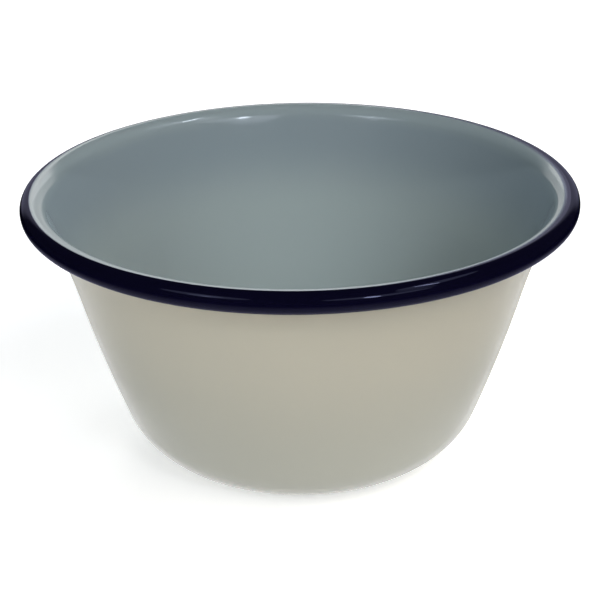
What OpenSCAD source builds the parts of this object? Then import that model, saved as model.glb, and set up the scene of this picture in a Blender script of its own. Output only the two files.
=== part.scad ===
// Enamelled basin bowl: a pressed steel sheet with a curled rim, under fired glass coats.
// Every piece is turned from one section line, the middle of the sheet, at its own offset.
// Offsets are positive towards the food side and negative towards the outside.

/* [Bowl] */
// Width across the curled rim, over the rim band
rim_d = 160; // [140:1:180]
// Height from the table to the crest of the rim
bowl_h = 81.4; // [70:0.2:100]
// Width of the flat that the bowl stands on
base_d = 65; // [50:1:78]
// Outside radius of the turn from the base into the wall
base_fillet_r = 22.2; // [14:0.2:28]
// Outside radius of the wall's slow bulge, seen in section
wall_bulge_r = 425; // [250:5:900]

/* [Rim] */
// Thickness of the curled bead, over the rim band
bead_d = 6.2; // [5.7:0.1:7.2]
// Radius of the lip between the bead's crest and the flare, on the food side
lip_r = 4.7; // [4:0.1:4.9]
// Radius of the flare that opens the wall towards the lip, on the food side
flare_r = 214; // [150:1:300]
// How much further the flare leans at the lip than a straight wall would, in degrees
flare_extra = 4.2; // [2:0.1:6]
// Slit between the curl's edge and the outside of the wall
curl_gap = 0.4; // [0.2:0.1:0.8]
// How far outside the crest the lining ends and the rim band begins, in degrees round the bead
band_start = 2; // [1:1:20]

/* [Sheet and coats] */
// Thickness of the steel sheet
sheet_t = 0.6; // [0.4:0.05:0.8]
// Thickness of the dark ground coat on each face of the sheet
ground_t = 0.12; // [0.08:0.01:0.18]
// Thickness of the lining coat
lining_t = 0.2; // [0.12:0.01:0.3]
// Thickness of the outside coat
outside_t = 0.2; // [0.12:0.01:0.3]
// Thickness of the rim band
band_t = 0.2; // [0.12:0.01:0.3]

/* [Hidden] */

// How far a straight step along an arc may stray from it
chord_error = 0.01;
// Sides of the turned pieces in a preview
turn_sides = 180;

// Offsets of the faces between the layers
sheet_in = sheet_t / 2;
sheet_out = -sheet_t / 2;
ground_in = sheet_in + ground_t;
ground_out = sheet_out - ground_t;
lining_face = ground_in + lining_t;
band_face = ground_in + band_t;
outside_face = ground_out - outside_t;

// Height of the sheet's middle over the flat base
base_z = -outside_face;

// Radii of the section line itself
fillet_mid_r = base_fillet_r + outside_face;
wall_mid_r = wall_bulge_r + outside_face;
flare_mid_r = flare_r - lining_face;
lip_mid_r = lip_r - lining_face;
bead_mid_r = bead_d / 2 - band_face;

// Centres of the section's arcs, as radius from the axis and height
fillet_c = [base_d / 2, base_fillet_r];
bead_c = [rim_d / 2 - bead_d / 2, bowl_h - bead_d / 2];
lip_c = bead_c + [0, bead_mid_r - lip_mid_r];

// Lean from upright of a straight wall between the fillet and the lip, and of the flare at the lip
lip_reach = lip_c - fillet_c;
straight_lean = acos((fillet_mid_r + lip_mid_r) / norm(lip_reach)) - atan2(lip_reach[1], lip_reach[0]);
flare_lean = straight_lean + flare_extra;

// Centres of the two slow arcs of the wall
flare_c = lip_c + (flare_mid_r - lip_mid_r) * [cos(flare_lean), -sin(flare_lean)];
wall_c = crossing(fillet_c, flare_c, wall_mid_r - fillet_mid_r, wall_mid_r + flare_mid_r, 1);

// The curl's edge, where the slit to the outside of the wall is left open
curl_tip = crossing(bead_c, flare_c, bead_d / 2, flare_mid_r + outside_face - curl_gap, -1);

// Directions of the food side's normal where one arc hands over to the next, in degrees
base_turn = 90;
fillet_turn = direction(fillet_c, wall_c);
wall_turn = direction(flare_c, wall_c);
flare_turn = 180 - flare_lean;
crest_turn = 90;
band_turn = crest_turn - band_start;
edge_turn = direction(bead_c, curl_tip) - 360;
raw_turn = edge_turn + ground_t / bead_mid_r * 180 / PI;

// The section's arcs in order from the base: centre, radius, first and last normal.
// A positive radius has its centre on the food side, and a negative one on the outside.
FILLET = 0;
FLARE = 2;
CREST = 4;
CURL = 5;
EDGE = 6;
ARCS = [
    [fillet_c, fillet_mid_r, base_turn, fillet_turn],
    [wall_c, wall_mid_r, fillet_turn, wall_turn],
    [flare_c, -flare_mid_r, wall_turn, flare_turn],
    [lip_c, -lip_mid_r, flare_turn, crest_turn],
    [bead_c, -bead_mid_r, crest_turn, band_turn],
    [bead_c, -bead_mid_r, band_turn, raw_turn],
    [bead_c, -bead_mid_r, raw_turn, edge_turn]
];

// The point at distance ra from a and rb from b.
// It lies on the left of the way from a to b for side 1, and on the right for side -1.
function crossing(a, b, ra, rb, side) =
    let (gap = norm(b - a), ahead = (b - a) / gap, left = [-ahead[1], ahead[0]])
    let (along = (gap * gap + ra * ra - rb * rb) / (2 * gap))
    a + along * ahead + side * sqrt(max(0, ra * ra - along * along)) * left;

// The direction from a to b, from 0 up to 360 degrees
function direction(a, b) = let (turn = atan2(b[1] - a[1], b[0] - a[0])) turn < 0 ? turn + 360 : turn;

// The point of an arc at one normal and one offset from the section line
function arc_point(arc, turn, offset) = arc[0] - (arc[1] - offset) * [cos(turn), sin(turn)];

// The steps that keep an arc within the chord error
function arc_steps(arc) =
    ceil(abs(arc[3] - arc[2]) / (2 * acos(1 - chord_error / abs(arc[1]))));

// The section line at one offset, along the arcs from first to last.
// It starts on the axis, with the flat base, where its first arc is the base fillet.
function section_line(first, last, offset) = [
    if (first == FILLET) [0, base_z + offset],
    for (k = [first:last])
        let (arc = ARCS[k], steps = arc_steps(arc))
        for (i = [k == first ? 0 : 1:steps])
            arc_point(arc, arc[2] + (arc[3] - arc[2]) * i / steps, offset)
];

// The same points from the far end back
function backwards(points) = [for (i = [len(points) - 1:-1:0]) points[i]];

// One layer between two offsets, along the arcs from first to last
module layer(first, last, low, high) {
    rotate_extrude($fn = turn_sides)
        polygon(concat(section_line(first, last, low), backwards(section_line(first, last, high))));
}

// The pressed sheet, curled into a hollow bead that stops short of its own wall
module steel_shell() {
    color("#9a9da0") layer(FILLET, CURL, sheet_out, sheet_in);
}

// The dark ground coat on the food side, from the base over the lip and round the bead
module ground_coat_inside() {
    color("#24272c") layer(FILLET, EDGE, sheet_in, ground_in);
}

// The dark ground coat on the outside, up into the curl and over the raw edge of the sheet
module ground_coat_outside() {
    edge = ARCS[EDGE];
    color("#24272c") rotate_extrude($fn = turn_sides) polygon(concat(
        section_line(FILLET, EDGE, ground_out),
        [arc_point(edge, edge_turn, sheet_in), arc_point(edge, raw_turn, sheet_in)],
        backwards(section_line(FILLET, CURL, sheet_out))
    ));
}

// The blue-grey lining, from the middle of the base to the rim band
module lining_coat() {
    color("#93a2a3") layer(FILLET, CREST, ground_in, lining_face);
}

// The warm white outside coat, from under the base to the top of the flare, hidden by the bead
module outside_coat() {
    color("#d9d6c8") layer(FILLET, FLARE, outside_face, ground_out);
}

// The navy band round the bead, from its crest to the curl's edge
module rim_band() {
    color("#14122b") layer(CURL, EDGE, ground_in, band_face);
}

steel_shell();
ground_coat_inside();
ground_coat_outside();
lining_coat();
outside_coat();
rim_band();
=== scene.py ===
"""Enamelled basin bowl: fine meshes and glass finishes for its coats, in a plain pale studio."""
import math
from collections import namedtuple

import bpy
import numpy as np
from mathutils import Matrix, Vector, noise

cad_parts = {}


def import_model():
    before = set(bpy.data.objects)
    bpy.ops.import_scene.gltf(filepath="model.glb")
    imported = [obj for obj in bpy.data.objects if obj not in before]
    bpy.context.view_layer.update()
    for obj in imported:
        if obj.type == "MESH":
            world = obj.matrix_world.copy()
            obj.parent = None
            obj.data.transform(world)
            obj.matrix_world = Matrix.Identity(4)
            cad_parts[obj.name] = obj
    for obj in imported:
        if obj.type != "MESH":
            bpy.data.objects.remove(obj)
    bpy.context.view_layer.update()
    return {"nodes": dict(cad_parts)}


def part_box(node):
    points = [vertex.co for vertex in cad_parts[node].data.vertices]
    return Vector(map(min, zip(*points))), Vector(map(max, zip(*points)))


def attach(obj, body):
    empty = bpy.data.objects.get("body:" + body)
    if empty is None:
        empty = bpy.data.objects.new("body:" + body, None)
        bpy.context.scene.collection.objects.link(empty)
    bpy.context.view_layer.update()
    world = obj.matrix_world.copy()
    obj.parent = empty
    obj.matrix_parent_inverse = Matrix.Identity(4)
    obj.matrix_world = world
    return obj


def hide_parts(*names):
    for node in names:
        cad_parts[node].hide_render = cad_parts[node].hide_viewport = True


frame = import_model()

# Sizes of the bowl in metres, as its solids have them. The rim and the height come from the frame.
RIM_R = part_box("rim_band")[1].x
BOWL_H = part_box("lining_coat")[1].z
# The flat that it stands on, the turn into the wall, and the wall's slow bulge, on the outside
BASE_R = 0.0325
FILLET_R = 0.0222
BULGE_R = 0.425
# The curled bead over its band, and the lip and the flare below it, on the food side
BEAD_R = 0.0031
LIP_R = 0.0047
FLARE_R = 0.214
# How much further the flare leans than a straight wall, and the slit behind the curl's edge
FLARE_EXTRA = math.radians(4.2)
CURL_GAP = 0.0004
# The sheet, the ground coats and the cover coats
SHEET_T = 0.0006
GROUND_T = 0.00012
COVER_T = 0.0002

# Offsets of the faces from the middle of the sheet, positive towards the food side
GROUND_IN = SHEET_T / 2 + GROUND_T
FACE_IN = GROUND_IN + COVER_T
GROUND_OUT = -GROUND_IN
FACE_OUT = -FACE_IN
BASE_Z = -FACE_OUT

# Fineness of the meshes, the angle that makes an edge sharp, and what counts as on the axis
COLUMNS = 384
FLAT_STEPS = 8
FILLET_STEPS = 28
WALL_STEPS = 26
FLARE_STEPS = 14
LIP_STEPS = 30
ROUND_STEPS = 5
BEAD_STEPS = 84
SHARP = math.radians(45)
ON_AXIS = 1e-9

# The fired surface: how deep its slow waves are and how far apart
WAVE_DEPTH = 0.00003
WAVE_LENGTH = 0.022

# The painted edge of the band, as a distance round the rim from the crest, positive outwards.
# It lies furthest in at the right, and near the crest at the left, the front and the back,
# with two dips at the front, each an angle round the bowl, a half width and a depth.
EDGE_MEAN = -0.00028
EDGE_SHIFT = -0.00086
EDGE_PINCH = -0.00042
EDGE_DIPS = (
    (math.radians(-115), math.radians(20), -0.00045),
    (math.radians(-57), math.radians(12), -0.00022),
)
EDGE_TREMBLE = 0.00005
EDGE_TREMBLE_LENGTH = 0.016
# Over what distance the band's paint grows dense: at its soft right side, and elsewhere
EDGE_SOFT_RIGHT = 0.0011
EDGE_SOFT = 0.0003
# How far the lining thins before the band, and over what distance
THIN_DEPTH = 0.00004
THIN_LENGTH = 0.0012
# Over what distance the band's own edge rounds off
ROUND_LENGTH = 0.00016

# Colours, as they look
# Inside, the paler colour low down is painted bounce light from the bowl's floor, and the paler lip is
# painted light from above
LINING_LOW_BOUNCE_LIT = "#96a2a1"
LINING_HIGH = "#839095"
LINING_LIP_TOP_LIT = "#8c999b"
# Outside, the warmer colour high up is painted warm light, and the darker, cooler colour low down is
# painted shade
OUTSIDE_WARM_LIT = "#c3bdaa"
OUTSIDE_COOL_SHADED = "#b6b6a9"
# On the band, the paler colour low on the bead is painted light from the floor below
NAVY_LOW_UNDERLIT = "#0c0a22"
NAVY_HIGH = "#070618"
NAVY_THIN = "#7d868f"
NAVY_SHEEN = "#3f45bc"
GROUND_LIGHT = "#262a31"
GROUND_DARK = "#15181d"
STEEL_LIGHT = "#a5a7a8"
STEEL_DARK = "#7d8082"
FLOOR_COLOUR = "#f4f4f2"
ROOM_COLOUR = "#e0f2ff"
# The heights over the table where the cover coats have their colours. These steps paint light and shade:
# inside, paler low down and over the lip; outside, warmer high up and darker towards the base; on the band,
# paler on the underside of the bead.
LINING_PAINTED_LIGHT_STOPS = ((0.049, LINING_LOW_BOUNCE_LIT), (0.072, LINING_HIGH), (0.076, LINING_HIGH), (0.0805, LINING_LIP_TOP_LIT))
OUTSIDE_PAINTED_LIGHT_STOPS = ((0.005, OUTSIDE_COOL_SHADED), (0.078, OUTSIDE_WARM_LIT))
NAVY_PAINTED_LIGHT_STOPS = ((0.0762, NAVY_LOW_UNDERLIT), (0.0800, NAVY_HIGH))
# The values of a noise where the hidden layers have theirs
GROUND_STOPS = ((0.35, GROUND_DARK), (0.65, GROUND_LIGHT))
STEEL_STOPS = ((0.3, STEEL_DARK), (0.7, STEEL_LIGHT))
# How far the colours of the coats wander up and down the wall, and on the band
MOTTLE = 0.003
BAND_MOTTLE = 0.0008

# The grain of the finishes, as noises over metres, and the range that most of a noise lies in
Grain = namedtuple("Grain", "scale detail roughness")
MOTTLE_GRAIN = Grain(35, 3, 0.55)
GLOSS_GRAIN = Grain(90, 3, 0.5)
DIMPLE_GRAIN = Grain(420, 2, 0.45)
BUBBLE_GRAIN = Grain(600, 3, 0.5)
STEEL_GRAIN = Grain(900, 3, 0.5)
NOISE_SPAN = (0.3, 0.7)
# How the steel's marks are drawn out up the wall
STEEL_STRETCH = (1.0, 1.0, 0.08)
# The least and greatest roughness of each surface, and the depth of its fine relief in metres
LINING_GLOSS = (0.06, 0.09)
LINING_RELIEF = 0.000001
OUTSIDE_GLOSS = (0.14, 0.22)
OUTSIDE_RELIEF = 0.000002
NAVY_GLOSS = (0.03, 0.05)
GROUND_GLOSS = (0.25, 0.4)
GROUND_RELIEF = 0.000004
STEEL_GLOSS = (0.35, 0.5)
STEEL_RELIEF = 0.000003
# The refraction of glass and of the lining's denser glass, and the specular level of plain glass
GLASS_IOR = 1.5
LINING_IOR = 1.58
GLASS_SHINE = 0.5
# How much of glass's usual shine the navy has, once as white and once as violet
NAVY_SHINE = 0.3
# Where the shine of the dimpled glass fades, seen edge on, as one less the cosine of the angle
EDGE_ON = (0.86, 0.96)
# Roughness of the glass for light that has bounced before
BOUNCED_ROUGHNESS = 0.5

# The camera, from the fit to the photographed outline
CAMERA_AT = Vector((0.0, -0.40582, 0.22872))
CAMERA_PITCH = math.radians(24.489)
CAMERA_YAW = math.radians(-0.0482)
CAMERA_ROLL = math.radians(-0.7825)
CAMERA_LENS = 89.549
CAMERA_SENSOR = 36.0

# The floor: its radius and sides, and how much whiter the camera sees it
FLOOR_R = 4.0
FLOOR_SIDES = 96
FLOOR_GLOW = 0.5
# How white the floor looks in reflections: close round the base and near the bowl, by the distance
# from the axis, more of the latter from beside the bowl on back, and fully white far behind it
FLOOR_CLOSE = (0.045, 0.085)
FLOOR_SEEN_CLOSE = 0.5
FLOOR_NEAR = (0.09, 0.28)
FLOOR_SEEN_NEAR = 0.62
FLOOR_BESIDE = (-0.03, 0.05)
FLOOR_SEEN_BESIDE = 1.5
FLOOR_BEHIND = (0.35, 0.9)
# The white backdrop behind the bowl as it is seen, by the height and the depth of the direction
BACKDROP_TOP = (math.sin(math.radians(36)), math.sin(math.radians(24)))
BACKDROP_SIDES = (0.74, 0.90)
BACKDROP_SEEN = 1.0
ROOM_SEEN = 0.04
# The wider glow from behind that lights the bowl
GLOW_TOP = (math.sin(math.radians(30)), math.sin(math.radians(14)))
GLOW_SIDES = (-0.3, 0.3)
GLOW_LIGHT = 0.72
ROOM_LIGHT = 0.05

# The lamps, aimed at the bowl. Azimuth 0 is the camera's side, positive to the right, in degrees.
# Distances and sizes are in metres, and a radiance of 1 is white.
Lamp = namedtuple("Lamp", "name azimuth elevation distance width height radiance tint")
PLAIN_TINT = (1.0, 1.0, 1.0)
WARM_TINT = (1.05, 0.955, 0.88)
MILD_TINT = (0.93, 0.955, 0.97)
COOL_TINT = (0.8, 0.87, 1.0)
# Oblong lamps that light the bowl and don't show in reflections
LIGHTING = (
    Lamp("key", 42, 45, 1.4, 1.7, 0.6, 3.0, WARM_TINT),
    Lamp("front", -22, 20, 1.4, 0.7, 0.6, 3.6, MILD_TINT),
    Lamp("left_low", -82, 7, 1.4, 0.6, 0.3, 1.9, COOL_TINT),
    Lamp("back", 180, 20, 1.4, 0.6, 0.6, 6.1, PLAIN_TINT),
    Lamp("back_right", 135, 20, 1.4, 0.6, 0.6, 4.5, PLAIN_TINT),
)
# Round lamps that show in the glass: soft strips, and small bright glints
MIRRORED = (
    Lamp("back_sheen", 178, 23, 1.4, 0.9, 0.24, 0.8, PLAIN_TINT),
    Lamp("strip_low", 31, 32.5, 1.4, 1.0, 0.34, 1.6, COOL_TINT),
    Lamp("strip_mid", 53, 44, 1.4, 0.35, 0.35, 0.9, COOL_TINT),
    Lamp("strip_high", 82, 57, 1.4, 0.9, 0.34, 1.4, COOL_TINT),
    Lamp("strip_left", -40, 35, 1.4, 0.8, 0.46, 1.3, COOL_TINT),
    Lamp("sheen_left", -39, 33, 1.4, 0.32, 0.34, 1.4, COOL_TINT),
    Lamp("glint_low", 29, 32, 4.0, 0.42, 0.7, 18.0, COOL_TINT),
    Lamp("glint_high", 76.5, 57.5, 4.0, 0.14, 0.66, 36.0, COOL_TINT),
    Lamp("glint_left", -38, 30.5, 1.4, 0.09, 0.14, 3.0, COOL_TINT),
)
# The spot that makes a soft pool of light on the far wall. Its width is the pool's radius, and its
# radiance is a power in watts. It is aimed at a point of its own, and the lamp itself is a small ball.
POOL = Lamp("pool", -4, 42, 1.05, 0.07, 0.07, 8.2, MILD_TINT)
POOL_AT = Vector((-0.004, 0.055, 0.022))
POOL_LAMP_R = 0.03

# An arc of the section, and a place along it with how far the coat sinks there, whether the surface
# has waves, and how dense the paint is
Arc = namedtuple("Arc", "centre radius first last")
Station = namedtuple("Station", "at sink waves cover", defaults=[1.0])


def unit(turn):
    """The unit vector at an angle."""
    return np.array([math.cos(turn), math.sin(turn)])


def crossing(a, b, ra, rb, side):
    """The point at distance ra from a and rb from b, left of the way from a to b for side 1."""
    gap = np.linalg.norm(b - a)
    ahead = (b - a) / gap
    left = np.array([-ahead[1], ahead[0]])
    along = (gap**2 + ra**2 - rb**2) / (2 * gap)
    return a + along * ahead + side * math.sqrt(ra**2 - along**2) * left


def direction(a, b):
    """The angle of the way from a to b, from 0 to a full turn."""
    return math.atan2(b[1] - a[1], b[0] - a[0]) % (2 * math.pi)


def section():
    """The arcs of the sheet's middle from the base to the curl's edge, as the solids have them.
    A positive radius has its centre on the food side, and a negative one on the outside."""
    fillet_r = FILLET_R + FACE_OUT
    wall_r = BULGE_R + FACE_OUT
    flare_r = FLARE_R - FACE_IN
    lip_r = LIP_R - FACE_IN
    bead_r = BEAD_R - FACE_IN
    fillet_c = np.array([BASE_R, FILLET_R])
    bead_c = np.array([RIM_R - BEAD_R, BOWL_H - BEAD_R])
    lip_c = bead_c + np.array([0.0, bead_r - lip_r])
    reach = lip_c - fillet_c
    straight_lean = math.acos((fillet_r + lip_r) / np.linalg.norm(reach)) - math.atan2(reach[1], reach[0])
    lean = straight_lean + FLARE_EXTRA
    flare_c = lip_c + (flare_r - lip_r) * unit(-lean)
    wall_c = crossing(fillet_c, flare_c, wall_r - fillet_r, wall_r + flare_r, 1)
    curl_tip = crossing(bead_c, flare_c, BEAD_R, flare_r + FACE_OUT - CURL_GAP, -1)
    up = math.pi / 2
    fillet_turn = direction(fillet_c, wall_c)
    wall_turn = direction(flare_c, wall_c)
    flare_turn = math.pi - lean
    edge_turn = direction(bead_c, curl_tip) - 2 * math.pi
    return {
        "fillet": Arc(fillet_c, fillet_r, up, fillet_turn),
        "wall": Arc(wall_c, wall_r, fillet_turn, wall_turn),
        "flare": Arc(flare_c, -flare_r, wall_turn, flare_turn),
        "lip": Arc(lip_c, -lip_r, flare_turn, up),
        "bead": Arc(bead_c, -bead_r, up, edge_turn),
    }


ARCS = section()


def on_flat(radius):
    """A place on the flat base, as a function of the offset."""
    return lambda offset: np.array([radius, BASE_Z + offset])


def on_arc(arc, turn):
    """A place on an arc, as a function of the offset."""
    return lambda offset: arc.centre - (arc.radius - offset) * unit(turn)


def round_rim(distance):
    """A place on the rim at a distance from its crest, inwards over the lip or outwards round the bead."""
    if distance < 0:
        return on_arc(ARCS["lip"], math.pi / 2 - distance / LIP_R)
    return on_arc(ARCS["bead"], math.pi / 2 - distance / BEAD_R)


def arc_stations(name, steps):
    """Even steps along an arc, without its first point."""
    arc = ARCS[name]
    turns = np.linspace(arc.first, arc.last, steps + 1)[1:]
    return [Station(on_arc(arc, turn), 0.0, True) for turn in turns]


def body_stations(flat_waves):
    """The stations from the axis over the flat base and up the wall to the lip."""
    radii = np.linspace(0.0, BASE_R, FLAT_STEPS + 1)
    flat = [Station(on_flat(radius), 0.0, flat_waves) for radius in radii]
    return (
        flat
        + arc_stations("fillet", FILLET_STEPS)
        + arc_stations("wall", WALL_STEPS)
        + arc_stations("flare", FLARE_STEPS)
    )


def band_edge(theta):
    """How far outside the crest the band's painted edge lies at an angle round the bowl."""
    around = Vector((math.cos(theta), math.sin(theta), 0.0)) * (RIM_R / EDGE_TREMBLE_LENGTH)
    drift = EDGE_MEAN + EDGE_SHIFT * math.cos(theta) + EDGE_PINCH * math.cos(2 * theta)
    for middle, width, depth in EDGE_DIPS:
        off = math.remainder(theta - middle, 2 * math.pi) / width
        drift += depth * math.exp(-off * off)
    return drift + EDGE_TREMBLE * noise.noise(around)


def smooth_step(x):
    """A soft step from 0 to 1."""
    x = min(max(x, 0.0), 1.0)
    return x * x * (3 - 2 * x)


def lining_path(theta):
    """The lining's stations: up the inside and over the lip to the painted edge, where the coat thins."""
    lip = ARCS["lip"]
    start = -(lip.first - lip.last) * LIP_R
    edge = band_edge(theta)
    stations = body_stations(True)
    for distance in np.linspace(start, edge, LIP_STEPS + 1)[1:]:
        thin = smooth_step(1 - (edge - distance) / THIN_LENGTH)
        stations.append(Station(round_rim(distance), THIN_DEPTH * thin, True))
    return stations


def outside_path(theta):
    """The outside coat's stations, the same all round: under the base, and up to the flare's top."""
    return body_stations(False)


def band_path(theta):
    """The band's stations: from its rounded, painted edge round the bead to the curl's edge."""
    bead = ARCS["bead"]
    edge = band_edge(theta)
    end = (bead.first - bead.last) * BEAD_R
    soft = EDGE_SOFT + (EDGE_SOFT_RIGHT - EDGE_SOFT) * smooth_step(math.cos(theta))
    rounded = edge + np.linspace(0.0, 1.0, ROUND_STEPS + 1)[:-1] * ROUND_LENGTH
    stations = []
    for distance in (*rounded, *np.linspace(edge + ROUND_LENGTH, end, BEAD_STEPS)):
        fall = max(0.0, 1 - (distance - edge) / ROUND_LENGTH)
        sink = THIN_DEPTH * (1 - math.sqrt(1 - fall * fall))
        stations.append(Station(round_rim(distance), sink, True, smooth_step((distance - edge) / soft)))
    return stations


def wave(point):
    """Depth of the fired surface's slow waves at a point, never above the true face."""
    return WAVE_DEPTH * (0.5 + 0.5 * noise.noise(Vector(point) / WAVE_LENGTH))


def turned(flat_point, theta):
    """A point of the section, turned round the axis."""
    radius, height = flat_point
    return (radius * math.cos(theta), radius * math.sin(theta), height)


def skin_rings(path, face, back):
    """Rings of points over a coat's face and back under it, and how dense the paint is at each point."""
    inwards = math.copysign(1.0, back - face)
    columns = []
    covers = []
    for theta in np.arange(COLUMNS) * (2 * math.pi / COLUMNS):
        stations = path(theta)
        column = []
        for station in stations:
            depth = station.sink
            if station.waves:
                depth += wave(turned(station.at(face), theta))
            column.append(turned(station.at(face + inwards * depth), theta))
        column += [turned(station.at(back), theta) for station in reversed(stations)]
        columns.append(column)
        cover = [station.cover for station in stations]
        covers.append(cover + cover[::-1])
    return np.array(columns).transpose(1, 0, 2), np.array(covers).transpose()


def skin_faces(rows, on_axis):
    """Faces between each row of corners and the next, and from the last to the first if not on the axis."""
    pairs = list(zip(rows, rows[1:]))
    if not on_axis:
        pairs.append((rows[-1], rows[0]))
    faces = []
    for low, high in pairs:
        for j in range(COLUMNS):
            k = (j + 1) % COLUMNS
            corners = (low[j], low[k], high[k], high[j])
            faces.append(tuple(dict.fromkeys(corners)))
    return faces


def skin_mesh(name, rings, covers, on_axis):
    """A closed skin through rings of points. A ring on the axis becomes a single point."""
    vertices = []
    dense = []
    rows = []
    for ring, cover in zip(rings, covers):
        first = len(vertices)
        if np.hypot(ring[:, 0], ring[:, 1]).max() < ON_AXIS:
            vertices.append(tuple(ring[0]))
            dense.append(cover[0])
            rows.append([first] * COLUMNS)
        else:
            vertices.extend(map(tuple, ring))
            dense.extend(cover)
            rows.append(list(range(first, first + COLUMNS)))
    mesh = bpy.data.meshes.new(name)
    mesh.from_pydata(vertices, [], skin_faces(rows, on_axis))
    mesh.shade_smooth()
    mesh.set_sharp_from_angle(angle=SHARP)
    mesh.attributes.new("cover", "FLOAT", "POINT").data.foreach_set("value", dense)
    return mesh


def signed_volume(mesh):
    """Six times a closed mesh's volume, negative where its faces look inwards."""
    mesh.calc_loop_triangles()
    points = np.array([vertex.co for vertex in mesh.vertices])
    corners = np.array([triangle.vertices for triangle in mesh.loop_triangles])
    a, b, c = points[corners[:, 0]], points[corners[:, 1]], points[corners[:, 2]]
    return float((a * np.cross(b, c)).sum())


def add_object(name, data):
    """A new object in the scene."""
    piece = bpy.data.objects.new(name, data)
    bpy.context.scene.collection.objects.link(piece)
    return piece


def coat(name, node, material, path, sides, on_axis):
    """One cover coat between its two sides, as a closed skin that stands for its node."""
    mesh = skin_mesh(name, *skin_rings(path, *sides), on_axis)
    if signed_volume(mesh) < 0:
        mesh.flip_normals()
    mesh.materials.append(material)
    piece = add_object(name, mesh)
    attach(piece, "root")
    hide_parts(node)


def colour(code):
    """A colour code as linear values for a shader, by the sRGB formula."""
    parts = [int(code[i:i + 2], 16) / 255 for i in (1, 3, 5)]
    linear = [x / 12.92 if x <= 0.04045 else ((x + 0.055) / 1.055) ** 2.4 for x in parts]
    return (*linear, 1.0)


class Tree:
    """A node tree, with short ways to add nodes and links."""

    def __init__(self, tree):
        self.nodes = tree.nodes
        self.links = tree.links

    def add(self, kind, **settings):
        """A new node with its settings."""
        node = self.nodes.new(kind)
        for key, value in settings.items():
            setattr(node, key, value)
        return node

    def link(self, start, end):
        """A link from an output to an input."""
        self.links.new(start, end)

    def maths(self, operation, *terms):
        """A sum, product or the like of terms, each an output or a number."""
        node = self.add("ShaderNodeMath", operation=operation)
        for term, socket in zip(terms, node.inputs):
            if isinstance(term, float):
                socket.default_value = term
            else:
                self.link(term, socket)
        return node.outputs["Value"]

    def remap(self, value, span, low, high):
        """A value that goes softly from low to high as another goes through a span."""
        node = self.add("ShaderNodeMapRange", interpolation_type="SMOOTHSTEP")
        for key, number in zip(("From Min", "From Max", "To Min", "To Max"), (*span, low, high)):
            node.inputs[key].default_value = number
        self.link(value, node.inputs["Value"])
        return node.outputs["Result"]

    def split(self, vector):
        """A vector's X, Y and Z, by name."""
        node = self.add("ShaderNodeSeparateXYZ")
        self.link(vector, node.inputs["Vector"])
        return node.outputs

    def mix(self, share, first, second):
        """A shader that goes from one to another as a share goes from 0 to 1."""
        node = self.add("ShaderNodeMixShader")
        for start, end in zip((share, first, second), node.inputs):
            self.link(start, end)
        return node.outputs["Shader"]

    def looking_rays(self):
        """1 for camera rays, and 1 for glossy and transmission rays, as two values."""
        path = self.add("ShaderNodeLightPath").outputs
        mirrored = self.maths("MAXIMUM", path["Is Glossy Ray"], path["Is Transmission Ray"])
        return path["Is Camera Ray"], mirrored


class Shader(Tree):
    """A new material's node tree, with the object's own metres as its places."""

    def __init__(self, name):
        self.material = bpy.data.materials.new(name)
        self.material.use_nodes = True
        super().__init__(self.material.node_tree)
        self.surface = self.nodes["Principled BSDF"]
        self.output = self.nodes["Material Output"].inputs["Surface"]
        self.place = self.add("ShaderNodeTexCoord").outputs["Object"]

    def noise(self, grain, place=None):
        """Noise of a grain, from 0 to 1."""
        node = self.add("ShaderNodeTexNoise")
        for key, number in zip(("Scale", "Detail", "Roughness"), grain):
            node.inputs[key].default_value = number
        self.link(place or self.place, node.inputs["Vector"])
        return node.outputs["Fac"]

    def ramp(self, value, stops, interpolation="LINEAR"):
        """A colour that changes through stops, each a value and a colour code."""
        node = self.add("ShaderNodeValToRGB")
        node.color_ramp.interpolation = interpolation
        for _ in stops[2:]:
            node.color_ramp.elements.new(0.5)
        for element, (position, code) in zip(node.color_ramp.elements, stops):
            element.position = position
            element.color = colour(code)
        self.link(value, node.inputs["Fac"])
        return node.outputs["Color"]

    def height_colour(self, wander, stops):
        """A colour that changes through stops, each a height and a colour code, at a level that wanders."""
        height = self.split(self.place)["Z"]
        level = self.maths("MULTIPLY_ADD", self.noise(MOTTLE_GRAIN), wander, height)
        rise = self.add("ShaderNodeMapRange")
        rise.inputs["From Min"].default_value = wander / 2
        rise.inputs["From Max"].default_value = BOWL_H + wander / 2
        self.link(level, rise.inputs["Value"])
        shares = [(stop / BOWL_H, code) for stop, code in stops]
        return self.ramp(rise.outputs["Result"], shares, "EASE")

    def dulled(self, roughness):
        """A roughness that is high for rays that have bounced, so that lamps leave no second images."""
        path = self.add("ShaderNodeLightPath").outputs
        bounced = self.maths("MAXIMUM", path["Is Glossy Ray"], path["Is Diffuse Ray"])
        return self.maths("MAXIMUM", roughness, self.remap(bounced, (0.0, 1.0), 0.0, BOUNCED_ROUGHNESS))

    def bump(self, height, depth):
        """Fine relief of a depth in metres."""
        node = self.add("ShaderNodeBump")
        node.inputs["Strength"].default_value = 1.0
        node.inputs["Distance"].default_value = depth
        self.link(height, node.inputs["Height"])
        self.link(node.outputs["Normal"], self.surface.inputs["Normal"])


def glass_finish(shader, gloss, relief, ior=GLASS_IOR):
    """The gloss of fired glass: a little uneven, with the faint dimples of a sprayed coat.
    Its shine fades where it is seen edge on, because the dimples would sparkle there."""
    shader.surface.inputs["IOR"].default_value = ior
    roughness = shader.remap(shader.noise(GLOSS_GRAIN), NOISE_SPAN, *gloss)
    shader.link(shader.dulled(roughness), shader.surface.inputs["Roughness"])
    facing = shader.add("ShaderNodeLayerWeight").outputs["Facing"]
    shine = shader.remap(facing, EDGE_ON, GLASS_SHINE, 0.0)
    shader.link(shine, shader.surface.inputs["Specular IOR Level"])
    shader.bump(shader.noise(DIMPLE_GRAIN), relief)


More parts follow.
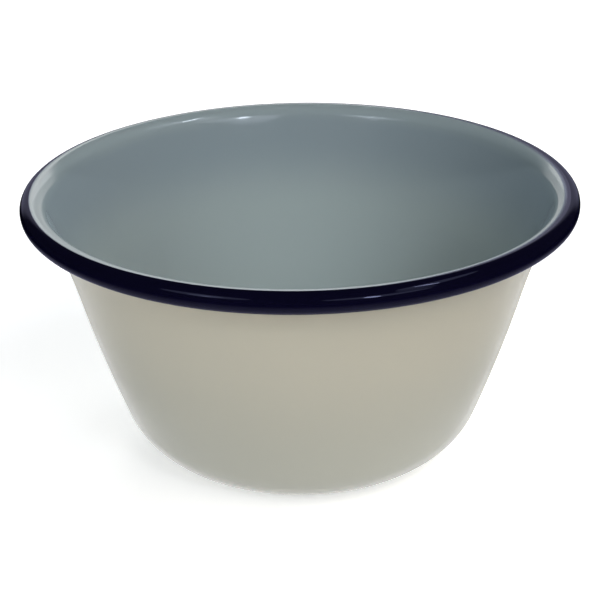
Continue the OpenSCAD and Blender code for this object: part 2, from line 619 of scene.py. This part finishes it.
def lining_enamel():
    """Blue-grey glass, with painted light: paler low down for bounce light from the bowl's floor, and paler
    over the lip for light from above.
    """
    shader = Shader("lining_enamel")
    shader.link(shader.height_colour(MOTTLE, LINING_PAINTED_LIGHT_STOPS), shader.surface.inputs["Base Color"])
    glass_finish(shader, LINING_GLOSS, LINING_RELIEF, LINING_IOR)
    return shader.material


def outside_enamel():
    """Warm white glass, with painted light and shade: warmer high up, darker and cooler towards the base.
    """
    shader = Shader("outside_enamel")
    shader.link(shader.height_colour(MOTTLE, OUTSIDE_PAINTED_LIGHT_STOPS), shader.surface.inputs["Base Color"])
    glass_finish(shader, OUTSIDE_GLOSS, OUTSIDE_RELIEF)
    return shader.material


def navy_paint(shader):
    """The navy's colour: a little paler on the underside of the bead, as painted light from the floor, and
    thin at its painted edge.
    """
    dense = shader.add("ShaderNodeAttribute", attribute_name="cover")
    paint = shader.add("ShaderNodeMix", data_type="RGBA")
    paint.inputs["A"].default_value = colour(NAVY_THIN)
    shader.link(dense.outputs["Fac"], paint.inputs["Factor"])
    shader.link(shader.height_colour(BAND_MOTTLE, NAVY_PAINTED_LIGHT_STOPS), paint.inputs["B"])
    return paint.outputs["Result"]


def violet_sheen(shader, roughness):
    """A violet reflection over a surface, which grows towards its edges as glass's own does."""
    sheen = shader.add("ShaderNodeBsdfGlossy")
    sheen.inputs["Color"].default_value = colour(NAVY_SHEEN)
    shader.link(roughness, sheen.inputs["Roughness"])
    fresnel = shader.add("ShaderNodeFresnel")
    fresnel.inputs["IOR"].default_value = GLASS_IOR
    share = shader.maths("MULTIPLY", fresnel.outputs["Fac"], NAVY_SHINE)
    return shader.mix(share, shader.surface.outputs["BSDF"], sheen.outputs["BSDF"])


def navy_enamel():
    """Deep navy glass under a thin clear coat, with a violet sheen."""
    shader = Shader("navy_enamel")
    shader.link(navy_paint(shader), shader.surface.inputs["Base Color"])
    shader.surface.inputs["Specular IOR Level"].default_value = 0.0
    shader.surface.inputs["Coat Weight"].default_value = NAVY_SHINE
    shader.surface.inputs["Coat IOR"].default_value = GLASS_IOR
    roughness = shader.remap(shader.noise(GLOSS_GRAIN), NOISE_SPAN, *NAVY_GLOSS)
    shader.link(roughness, shader.surface.inputs["Coat Roughness"])
    shader.link(violet_sheen(shader, roughness), shader.output)
    return shader.material


def ground_enamel():
    """Dark ground glass with fine bubbles."""
    shader = Shader("ground_enamel")
    bubbles = shader.noise(BUBBLE_GRAIN)
    shader.link(shader.ramp(bubbles, GROUND_STOPS), shader.surface.inputs["Base Color"])
    glass_finish(shader, GROUND_GLOSS, GROUND_RELIEF)
    return shader.material


def sheet_steel():
    """Pressed steel with drawing marks up the wall."""
    shader = Shader("sheet_steel")
    stretch = shader.add("ShaderNodeMapping")
    stretch.inputs["Scale"].default_value = STEEL_STRETCH
    shader.link(shader.place, stretch.inputs["Vector"])
    marks = shader.noise(STEEL_GRAIN, stretch.outputs["Vector"])
    shader.link(shader.ramp(marks, STEEL_STOPS), shader.surface.inputs["Base Color"])
    shader.surface.inputs["Metallic"].default_value = 1.0
    shader.link(shader.remap(marks, NOISE_SPAN, *STEEL_GLOSS), shader.surface.inputs["Roughness"])
    shader.bump(marks, STEEL_RELIEF)
    return shader.material


def dress_hidden_nodes():
    """Finishes for the sheet and the ground coats, which lie under the coats that show."""
    ground = ground_enamel()
    finishes = {
        "steel_shell": sheet_steel(),
        "ground_coat_inside": ground,
        "ground_coat_outside": ground,
    }
    for name, material in finishes.items():
        materials = frame["nodes"][name].data.materials
        materials.clear()
        materials.append(material)


def build_coats():
    """The three coats that show."""
    inside = (FACE_IN, GROUND_IN)
    outside = (FACE_OUT, GROUND_OUT)
    coat("lining", "lining_coat", lining_enamel(), lining_path, inside, True)
    coat("outside", "outside_coat", outside_enamel(), outside_path, outside, True)
    coat("band", "rim_band", navy_enamel(), band_path, inside, False)


def mirrored_floor(shader):
    """How white the floor looks in reflections: pale near the bowl, dim further off, and white behind."""
    length = shader.add("ShaderNodeVectorMath", operation="LENGTH")
    shader.link(shader.place, length.inputs[0])
    distance = length.outputs["Value"]
    depth = shader.split(shader.place)["Y"]
    close = shader.remap(distance, FLOOR_CLOSE, FLOOR_SEEN_CLOSE, 0.0)
    near = shader.remap(distance, FLOOR_NEAR, FLOOR_SEEN_NEAR, 0.0)
    beside = shader.remap(depth, FLOOR_BESIDE, 1.0, FLOOR_SEEN_BESIDE)
    round_bowl = shader.maths("ADD", close, shader.maths("MULTIPLY", near, beside))
    within = shader.remap(shader.maths("DIVIDE", depth, distance), BACKDROP_SIDES, 0.0, 1.0)
    behind = shader.maths("MULTIPLY", within, shader.remap(depth, FLOOR_BEHIND, 0.0, 1.0))
    return shader.maths("MAXIMUM", round_bowl, behind)


def floor_paper():
    """Matte paper with a little glow for the camera, which reflections show by a rule of its own."""
    shader = Shader("floor_paper")
    shader.nodes.remove(shader.surface)
    camera_ray, mirrored_ray = shader.looking_rays()
    matte = shader.add("ShaderNodeBsdfDiffuse")
    matte.inputs["Color"].default_value = colour(FLOOR_COLOUR)
    glow = shader.add("ShaderNodeEmission")
    shader.link(shader.remap(camera_ray, (0.0, 1.0), 0.0, FLOOR_GLOW), glow.inputs["Strength"])
    direct = shader.add("ShaderNodeAddShader")
    shader.link(matte.outputs["BSDF"], direct.inputs[0])
    shader.link(glow.outputs["Emission"], direct.inputs[1])
    mirrored = shader.add("ShaderNodeEmission")
    shader.link(mirrored_floor(shader), mirrored.inputs["Strength"])
    both = shader.mix(mirrored_ray, direct.outputs["Shader"], mirrored.outputs["Emission"])
    shader.link(both, shader.output)
    return shader.material


def floor():
    """A wide pale floor that looks white where it is lit and keeps the bowl's shadow."""
    turns = np.linspace(0, 2 * math.pi, FLOOR_SIDES, endpoint=False)
    corners = [turned((FLOOR_R, 0.0), turn) for turn in turns]
    mesh = bpy.data.meshes.new("floor")
    mesh.from_pydata(corners, [], [tuple(range(FLOOR_SIDES))])
    mesh.materials.append(floor_paper())
    add_object("floor", mesh)


def far_band(tree, way, top, sides, room, level):
    """A strength that rises from the room's level to another one, low down behind the bowl."""
    low = tree.remap(way["Z"], top, 0.0, 1.0)
    far = tree.remap(way["Y"], sides, 0.0, 1.0)
    return tree.remap(tree.maths("MULTIPLY", low, far), (0.0, 1.0), room, level)


def world():
    """A white backdrop behind the bowl in a dim room, and a wider glow for the rays that light."""
    studio = bpy.data.worlds.new("studio")
    bpy.context.scene.world = studio
    studio.use_nodes = True
    tree = Tree(studio.node_tree)
    tree.nodes.clear()
    way = tree.split(tree.add("ShaderNodeTexCoord").outputs["Generated"])
    seen = tree.add("ShaderNodeBackground")
    backdrop = far_band(tree, way, BACKDROP_TOP, BACKDROP_SIDES, ROOM_SEEN, BACKDROP_SEEN)
    tree.link(backdrop, seen.inputs["Strength"])
    light = tree.add("ShaderNodeBackground")
    light.inputs["Color"].default_value = colour(ROOM_COLOUR)
    glow = far_band(tree, way, GLOW_TOP, GLOW_SIDES, ROOM_LIGHT, GLOW_LIGHT)
    tree.link(glow, light.inputs["Strength"])
    looking = tree.maths("MAXIMUM", *tree.looking_rays())
    both = tree.mix(looking, light.outputs["Background"], seen.outputs["Background"])
    tree.link(both, tree.add("ShaderNodeOutputWorld").inputs["Surface"])


def place_towards(piece, lamp, target):
    """Puts a lamp at its distance from a target and aims it there."""
    az, el = math.radians(lamp.azimuth), math.radians(lamp.elevation)
    way = Vector((math.sin(az) * math.cos(el), -math.cos(az) * math.cos(el), math.sin(el)))
    piece.location = target + lamp.distance * way
    piece.rotation_euler = way.to_track_quat("Z", "Y").to_euler()


def area_lamp(lamp, shape, in_reflections):
    """A soft flat lamp aimed at the middle of the bowl's mouth."""
    data = bpy.data.lights.new(lamp.name, "AREA")
    data.shape = shape
    data.size = lamp.width
    data.size_y = lamp.height
    data.color = lamp.tint
    area = lamp.width * lamp.height * (math.pi / 4 if shape == "ELLIPSE" else 1.0)
    data.energy = lamp.radiance * math.pi * area
    piece = add_object(lamp.name, data)
    place_towards(piece, lamp, Vector((0.0, 0.0, BOWL_H)))
    piece.visible_glossy = in_reflections


def pool_spot():
    """A soft spot on the far wall that fades out at the pool's edge."""
    data = bpy.data.lights.new(POOL.name, "SPOT")
    data.energy = POOL.radiance
    data.color = POOL.tint
    data.spot_size = 2 * math.atan(POOL.width / POOL.distance)
    data.spot_blend = 1.0
    data.shadow_soft_size = POOL_LAMP_R
    piece = add_object(POOL.name, data)
    place_towards(piece, POOL, POOL_AT)
    piece.visible_glossy = False


def lamps():
    """The soft lamps that light the bowl, and those that show in its glass."""
    for lamp in LIGHTING:
        area_lamp(lamp, "RECTANGLE", False)
    for lamp in MIRRORED:
        area_lamp(lamp, "ELLIPSE", True)
    pool_spot()


def camera():
    """The camera at the photograph's viewing angle."""
    data = bpy.data.cameras.new("camera")
    data.lens = CAMERA_LENS
    data.sensor_width = CAMERA_SENSOR
    piece = add_object("camera", data)
    ahead = Vector((
        math.sin(CAMERA_YAW) * math.cos(CAMERA_PITCH),
        math.cos(CAMERA_YAW) * math.cos(CAMERA_PITCH),
        -math.sin(CAMERA_PITCH),
    ))
    right = ahead.cross(Vector((0, 0, 1))).normalized()
    up = right.cross(ahead)
    tilt_right = right * math.cos(CAMERA_ROLL) + up * math.sin(CAMERA_ROLL)
    tilt_up = up * math.cos(CAMERA_ROLL) - right * math.sin(CAMERA_ROLL)
    turn = Matrix((tilt_right, tilt_up, -ahead)).transposed().to_4x4()
    piece.matrix_world = Matrix.Translation(CAMERA_AT) @ turn
    bpy.context.scene.camera = piece


bpy.context.scene.view_settings.view_transform = "Standard"
camera()
dress_hidden_nodes()
build_coats()
floor()
world()
lamps()
